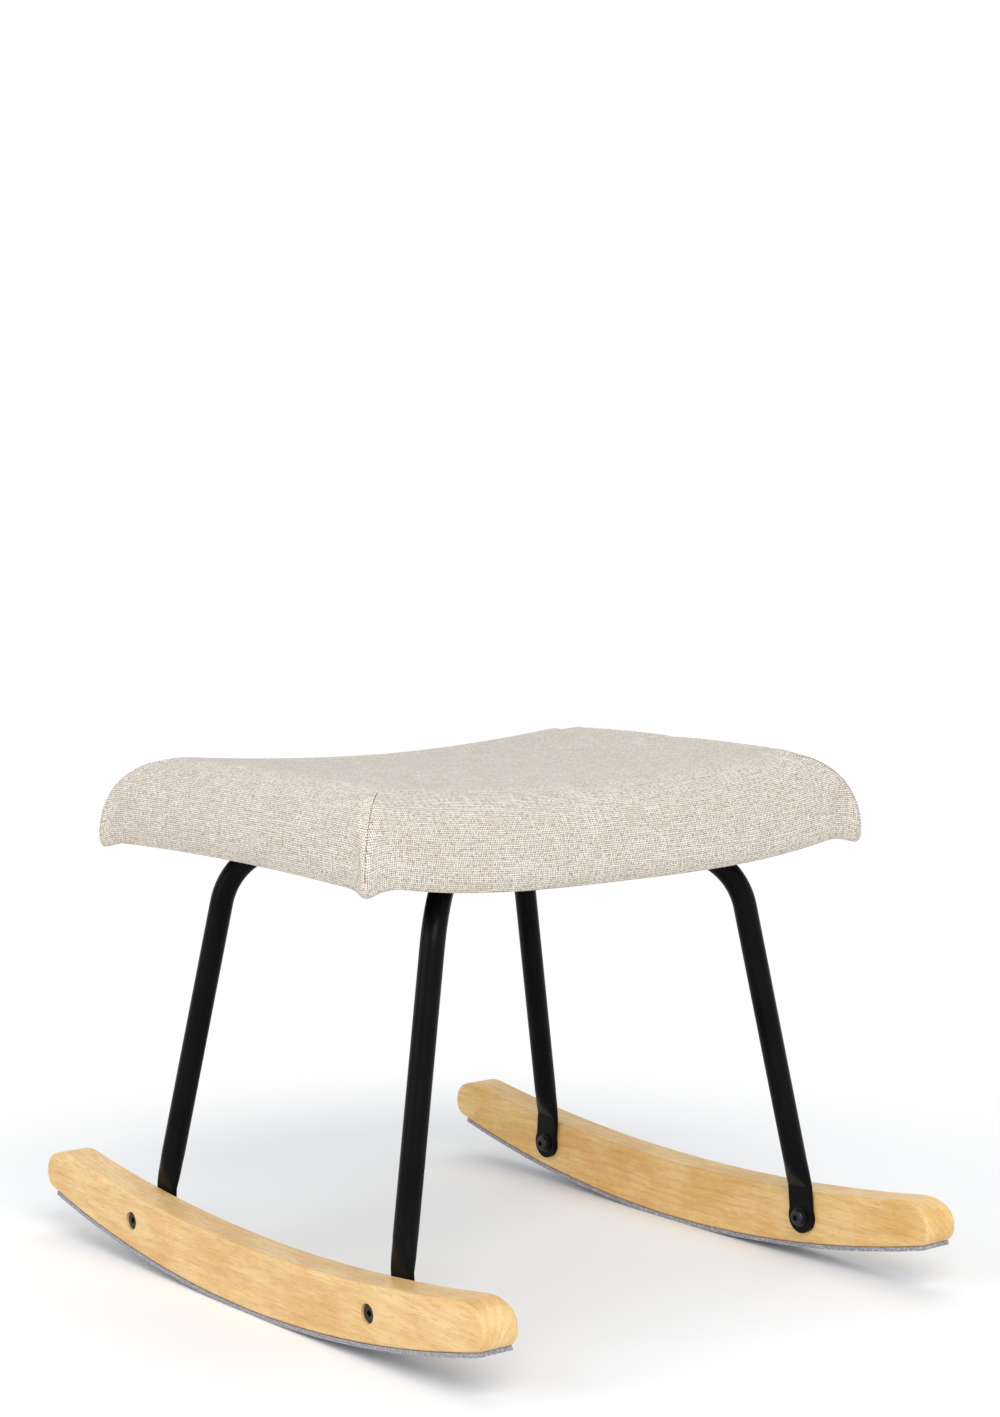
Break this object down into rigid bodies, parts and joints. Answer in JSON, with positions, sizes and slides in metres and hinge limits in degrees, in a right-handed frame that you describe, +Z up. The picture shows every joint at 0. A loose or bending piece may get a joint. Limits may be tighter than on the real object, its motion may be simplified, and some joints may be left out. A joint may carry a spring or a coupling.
{
  "type": "rocking footstool",
  "caption": "Low footstool with a saddle-shaped upholstered seat on bent steel tube legs, bolted to curved wooden rockers so that it rocks back and forth.",
  "frame": {"origin": "on the floor under the middle of the seat, at the line where the rockers touch the floor at rest", "axes": "+Y along the rockers, towards the rear, in the rocking direction; +X from the left rocker to the right one; +Z up"},
  "size_m": [0.5172, 0.641, 0.4403],
  "materials": {
    "rocker_wood": "clear satin lacquer on light hardwood",
    "felt": "flecked grey felt",
    "black_coated_steel": "black satin powder coat",
    "black_fastener": "black oxide",
    "zinc_steel": "zinc plated",
    "black_rubber": "matte",
    "plywood": "raw moulded plywood",
    "foam": "cut upholstery foam",
    "seat_fabric": "coarse cream weave with fine brown and grey flecks",
    "dust_cloth": "black non-woven cloth"
  },
  "bodies": {
    "root": {"rocker_left": "rocker_wood", "rocker_right": "rocker_wood", "felt_strip_left": "felt", "felt_strip_right": "felt", "leg_front_left": "black_coated_steel", "leg_rear_left": "black_coated_steel", "leg_front_right": "black_coated_steel", "leg_rear_right": "black_coated_steel", "frame_hub": "black_coated_steel", "mounting_plate": "black_coated_steel", "seat_bracket_front_left": "black_coated_steel", "seat_bracket_rear_left": "black_coated_steel", "seat_bracket_front_right": "black_coated_steel", "seat_bracket_rear_right": "black_coated_steel", "rocker_bolts": "black_fastener", "rocker_washers": "black_fastener", "sleeve_nuts": "black_fastener", "frame_screws": "black_fastener", "screw_washers": "zinc_steel", "tee_nuts": "zinc_steel", "spacer_pad_front_left": "black_rubber", "spacer_pad_rear_left": "black_rubber", "spacer_pad_front_right": "black_rubber", "spacer_pad_rear_right": "black_rubber", "seat_board": "plywood", "seat_foam": "foam", "seat_cover": "seat_fabric", "dust_cover": "dust_cloth", "dust_cover_staples": "zinc_steel"}
  },
  "joints": []
}
